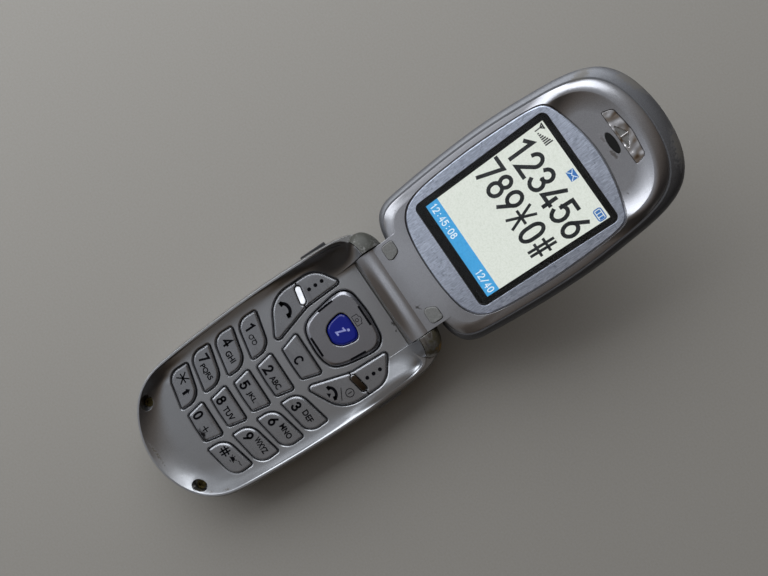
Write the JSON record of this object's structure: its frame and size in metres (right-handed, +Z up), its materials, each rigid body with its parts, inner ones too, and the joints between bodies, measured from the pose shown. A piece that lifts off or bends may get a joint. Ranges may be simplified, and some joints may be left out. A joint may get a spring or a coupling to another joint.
{
  "type": "flip phone",
  "caption": "Folding mobile phone lying open on its back, with keypad and navigation key in a dished base and a screen in the raised lid.",
  "frame": {"origin": "centre of the battery's flat back, on which the phone lies", "axes": "+Z up out of the keypad, +Y along the phone from the chin towards the hinge, +X to the phone's right"},
  "size_m": [0.0471, 0.1552, 0.0403],
  "materials": {
    "housing_silver": "silver paint, satin",
    "battery_silver": "silver paint, satin",
    "key_silver": "silver paint under clear lacquer",
    "nav_silver": "bright silver, glossy",
    "bar_chrome": "plated, polished",
    "centre_blue": "tinted clear blue, polished",
    "bezel_lavender": "brushed lengthways",
    "clear_window": "clear, polished",
    "dark_window": "dark tint, polished",
    "lcd_glass": "smooth",
    "backlight_white": "smooth",
    "steel": "blackened",
    "steel_bright": "rolled sheet",
    "gold_contact": "gold plated",
    "board_green": "solder mask",
    "keypad_rubber": "moulded",
    "dome_film": "film",
    "dark_plastic": "moulded",
    "carrier_plastic": "moulded",
    "cover_rubber": "moulded",
    "pad_grey": "moulded, dull",
    "flex_film": "film"
  },
  "bodies": {
    "base": {"front_housing": "housing_silver", "rear_housing": "housing_silver", "housing_screws": "steel", "hinge_pin": "steel", "hinge_shaft": "steel", "shield_can": "steel_bright", "sim_holder": "steel_bright", "data_connector": "steel_bright", "battery_contacts": "gold_contact", "vibration_motor": "steel_bright", "main_board": "board_green", "key_mat": "keypad_rubber", "dome_sheet": "dome_film", "microphone": "dark_plastic", "internal_antenna": "carrier_plastic", "headset_jack": "dark_plastic", "divider_bars": "bar_chrome"},
    "lid": {"lid_inner_housing": "housing_silver", "lid_outer_housing": "housing_silver", "lid_screws": "steel", "display_bezel": "bezel_lavender", "display_window": "clear_window", "lcd_panel": "lcd_glass", "lcd_backlight": "backlight_white", "lid_board": "board_green", "earpiece": "dark_plastic", "earpiece_trim": "bar_chrome", "ear_pad": "cover_rubber", "neck_pads": "pad_grey", "sub_display_window": "dark_window", "sub_display_panel": "lcd_glass", "camera_ring": "bar_chrome", "camera_lens": "dark_window", "camera_module": "dark_plastic", "flex_cable": "flex_film", "hinge_cartridge": "steel_bright"},
    "key_1": {"key_1": "key_silver"},
    "key_2": {"key_2": "key_silver"},
    "key_3": {"key_3": "key_silver"},
    "key_4": {"key_4": "key_silver"},
    "key_5": {"key_5": "key_silver"},
    "key_6": {"key_6": "key_silver"},
    "key_7": {"key_7": "key_silver"},
    "key_8": {"key_8": "key_silver"},
    "key_9": {"key_9": "key_silver"},
    "key_star": {"key_star": "key_silver"},
    "key_0": {"key_0": "key_silver"},
    "key_hash": {"key_hash": "key_silver"},
    "key_clear": {"key_clear": "key_silver"},
    "soft_key_left": {"soft_key_left": "key_silver"},
    "soft_key_right": {"soft_key_right": "key_silver"},
    "call_key": {"call_key": "key_silver"},
    "end_key": {"end_key": "key_silver"},
    "centre_key": {"centre_key": "centre_blue"},
    "nav_key": {"nav_key": "nav_silver"},
    "nav_pivot": {"nav_pivot": "carrier_plastic"},
    "volume_rocker": {"volume_rocker": "key_silver"},
    "jack_cover": {"jack_cover": "cover_rubber"},
    "battery_pack": {"battery_pack": "battery_silver"},
    "battery_latch": {"battery_latch": "dark_plastic"}
  },
  "joints": [
    {"name": "lid_hinge", "type": "hinge", "parent": "base", "child": "lid", "pos_m": [0, 0.039, 0.0135], "axis": [1, 0, 0], "range_deg": [0, 160]},
    {"name": "key_1_press", "type": "slide", "parent": "base", "child": "key_1", "axis": [0, 0, -1], "range_m": [0, 0.00035], "stiffness_N_per_m": 1200, "springref_m": -0.0003},
    {"name": "key_2_press", "type": "slide", "parent": "base", "child": "key_2", "axis": [0, 0, -1], "range_m": [0, 0.00035], "stiffness_N_per_m": 1200, "springref_m": -0.0003},
    {"name": "key_3_press", "type": "slide", "parent": "base", "child": "key_3", "axis": [0, 0, -1], "range_m": [0, 0.00035], "stiffness_N_per_m": 1200, "springref_m": -0.0003},
    {"name": "key_4_press", "type": "slide", "parent": "base", "child": "key_4", "axis": [0, 0, -1], "range_m": [0, 0.00035], "stiffness_N_per_m": 1200, "springref_m": -0.0003},
    {"name": "key_5_press", "type": "slide", "parent": "base", "child": "key_5", "axis": [0, 0, -1], "range_m": [0, 0.00035], "stiffness_N_per_m": 1200, "springref_m": -0.0003},
    {"name": "key_6_press", "type": "slide", "parent": "base", "child": "key_6", "axis": [0, 0, -1], "range_m": [0, 0.00035], "stiffness_N_per_m": 1200, "springref_m": -0.0003},
    {"name": "key_7_press", "type": "slide", "parent": "base", "child": "key_7", "axis": [0, 0, -1], "range_m": [0, 0.00035], "stiffness_N_per_m": 1200, "springref_m": -0.0003},
    {"name": "key_8_press", "type": "slide", "parent": "base", "child": "key_8", "axis": [0, 0, -1], "range_m": [0, 0.00035], "stiffness_N_per_m": 1200, "springref_m": -0.0003},
    {"name": "key_9_press", "type": "slide", "parent": "base", "child": "key_9", "axis": [0, 0, -1], "range_m": [0, 0.00035], "stiffness_N_per_m": 1200, "springref_m": -0.0003},
    {"name": "key_star_press", "type": "slide", "parent": "base", "child": "key_star", "axis": [0, 0, -1], "range_m": [0, 0.00035], "stiffness_N_per_m": 1200, "springref_m": -0.0003},
    {"name": "key_0_press", "type": "slide", "parent": "base", "child": "key_0", "axis": [0, 0, -1], "range_m": [0, 0.00035], "stiffness_N_per_m": 1200, "springref_m": -0.0003},
    {"name": "key_hash_press", "type": "slide", "parent": "base", "child": "key_hash", "axis": [0, 0, -1], "range_m": [0, 0.00035], "stiffness_N_per_m": 1200, "springref_m": -0.0003},
    {"name": "key_clear_press", "type": "slide", "parent": "base", "child": "key_clear", "axis": [0, 0, -1], "range_m": [0, 0.00035], "stiffness_N_per_m": 1200, "springref_m": -0.0003},
    {"name": "soft_key_left_press", "type": "slide", "parent": "base", "child": "soft_key_left", "axis": [0, 0, -1], "range_m": [0, 0.00035], "stiffness_N_per_m": 1200, "springref_m": -0.0003},
    {"name": "soft_key_right_press", "type": "slide", "parent": "base", "child": "soft_key_right", "axis": [0, 0, -1], "range_m": [0, 0.00035], "stiffness_N_per_m": 1200, "springref_m": -0.0003},
    {"name": "call_key_press", "type": "slide", "parent": "base", "child": "call_key", "axis": [0, 0, -1], "range_m": [0, 0.00035], "stiffness_N_per_m": 1200, "springref_m": -0.0003},
    {"name": "end_key_press", "type": "slide", "parent": "base", "child": "end_key", "axis": [0, 0, -1], "range_m": [0, 0.00035], "stiffness_N_per_m": 1200, "springref_m": -0.0003},
    {"name": "centre_key_press", "type": "slide", "parent": "base", "child": "centre_key", "axis": [0, 0, -1], "range_m": [0, 0.00035], "stiffness_N_per_m": 1200, "springref_m": -0.0003},
    {"name": "nav_rock_along", "type": "hinge", "parent": "base", "child": "nav_pivot", "pos_m": [0, 0.0214, 0.0085], "axis": [1, 0, 0], "range_deg": [-1.5, 1.5], "stiffness_Nm_per_rad": 0.2},
    {"name": "nav_rock_across", "type": "hinge", "parent": "nav_pivot", "child": "nav_key", "pos_m": [0, 0.0214, 0.0085], "axis": [0, 1, 0], "range_deg": [-1.5, 1.5], "stiffness_Nm_per_rad": 0.2},
    {"name": "volume_rock", "type": "hinge", "parent": "base", "child": "volume_rocker", "pos_m": [-0.0222, 0.027, 0.0086], "axis": [0, 0, 1], "range_deg": [-2, 2], "stiffness_Nm_per_rad": 0.1},
    {"name": "jack_cover_swing", "type": "hinge", "parent": "base", "child": "jack_cover", "pos_m": [0.0233, 0.0255, 0.0073], "axis": [0, 0, 1], "range_deg": [0, 100]},
    {"name": "battery_swing", "type": "hinge", "parent": "base", "child": "battery_pack", "pos_m": [0, -0.02875, 0.0002], "axis": [-1, 0, 0], "range_deg": [0, 25]},
    {"name": "battery_latch_slide", "type": "slide", "parent": "base", "child": "battery_latch", "axis": [0, 1, 0], "range_m": [0, 0.0015], "stiffness_N_per_m": 400, "springref_m": -0.0005}
  ]
}
